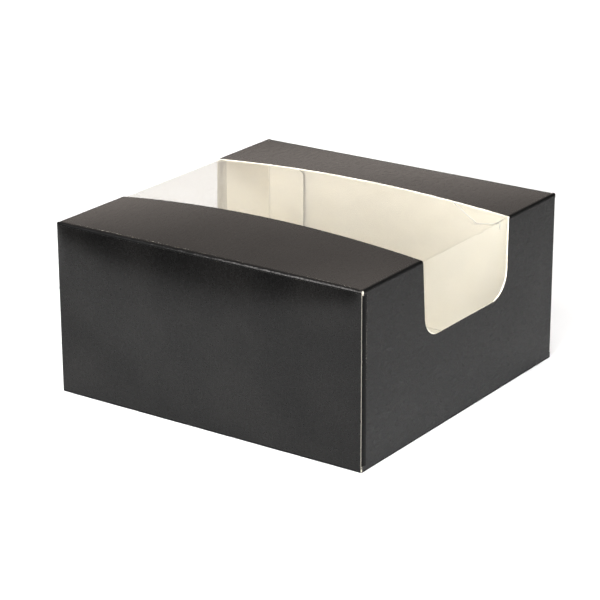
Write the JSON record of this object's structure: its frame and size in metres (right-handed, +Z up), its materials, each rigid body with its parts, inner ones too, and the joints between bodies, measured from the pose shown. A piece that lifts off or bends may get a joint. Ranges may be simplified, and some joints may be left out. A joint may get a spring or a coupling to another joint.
{
  "type": "windowed cake carton",
  "caption": "Folding paperboard cake carton with a clear window band over its top and side walls, and hinged tuck-in closures with dust flaps at its ends.",
  "frame": {"origin": "centre of the footprint, on the surface that the carton stands on", "axes": "-Y out through the front closure, +Y out through the back closure, +X out through the right side wall, +Z up"},
  "size_m": [0.2, 0.2, 0.1055],
  "materials": {
    "black_board": "satin",
    "clear_film": "gloss",
    "glue": "matte"
  },
  "bodies": {
    "sleeve": {"bottom_panel": "black_board", "left_wall": "black_board", "right_wall": "black_board", "top_front_strip": "black_board", "top_back_strip": "black_board", "seam_flap": "black_board", "bottom_right_crease": "black_board", "seam_flap_crease": "black_board", "top_front_left_crease": "black_board", "top_front_right_crease": "black_board", "top_back_left_crease": "black_board", "top_back_right_crease": "black_board", "seam_glue": "glue", "window_glue": "glue", "window_film_top": "clear_film", "window_film_left": "clear_film", "window_film_right": "clear_film"},
    "front_closure": {"front_closure_panel": "black_board", "front_closure_crease": "black_board"},
    "front_tuck": {"front_tuck_flap": "black_board", "front_tuck_crease": "black_board"},
    "front_left_dust": {"front_left_dust_flap": "black_board", "front_left_dust_crease": "black_board"},
    "front_right_dust": {"front_right_dust_flap": "black_board", "front_right_dust_crease": "black_board"},
    "back_closure": {"back_closure_panel": "black_board", "back_closure_crease": "black_board"},
    "back_tuck": {"back_tuck_flap": "black_board", "back_tuck_crease": "black_board"},
    "back_left_dust": {"back_left_dust_flap": "black_board", "back_left_dust_crease": "black_board"},
    "back_right_dust": {"back_right_dust_flap": "black_board", "back_right_dust_crease": "black_board"}
  },
  "joints": [
    {"name": "front_closure_hinge", "type": "hinge", "parent": "sleeve", "child": "front_closure", "pos_m": [0, -0.0995, 0.0995], "axis": [-1, 0, 0], "range_deg": [0, 180]},
    {"name": "front_tuck_hinge", "type": "hinge", "parent": "front_closure", "child": "front_tuck", "pos_m": [0, -0.0995, 0.0011], "axis": [-1, 0, 0], "range_deg": [0, 45]},
    {"name": "front_left_dust_hinge", "type": "hinge", "parent": "sleeve", "child": "front_left_dust", "pos_m": [-0.0995, -0.0989, 0.0504], "axis": [0, 0, -1], "range_deg": [0, 90]},
    {"name": "front_right_dust_hinge", "type": "hinge", "parent": "sleeve", "child": "front_right_dust", "pos_m": [0.0995, -0.0989, 0.0504], "axis": [0, 0, 1], "range_deg": [0, 90]},
    {"name": "back_closure_hinge", "type": "hinge", "parent": "sleeve", "child": "back_closure", "pos_m": [0, 0.0995, 0.0995], "axis": [1, 0, 0], "range_deg": [0, 180]},
    {"name": "back_tuck_hinge", "type": "hinge", "parent": "back_closure", "child": "back_tuck", "pos_m": [0, 0.0995, 0.0011], "axis": [1, 0, 0], "range_deg": [0, 45]},
    {"name": "back_left_dust_hinge", "type": "hinge", "parent": "sleeve", "child": "back_left_dust", "pos_m": [-0.0995, 0.0989, 0.0504], "axis": [0, 0, 1], "range_deg": [0, 90]},
    {"name": "back_right_dust_hinge", "type": "hinge", "parent": "sleeve", "child": "back_right_dust", "pos_m": [0.0995, 0.0989, 0.0504], "axis": [0, 0, -1], "range_deg": [0, 90]}
  ],
  "couplings": [
    {"joint": "front_tuck_hinge", "follows": "front_closure_hinge", "ratio": 0.25},
    {"joint": "front_left_dust_hinge", "follows": "front_closure_hinge", "ratio": 0.5},
    {"joint": "front_right_dust_hinge", "follows": "front_closure_hinge", "ratio": 0.5},
    {"joint": "back_tuck_hinge", "follows": "back_closure_hinge", "ratio": 0.25},
    {"joint": "back_left_dust_hinge", "follows": "back_closure_hinge", "ratio": 0.5},
    {"joint": "back_right_dust_hinge", "follows": "back_closure_hinge", "ratio": 0.5}
  ]
}
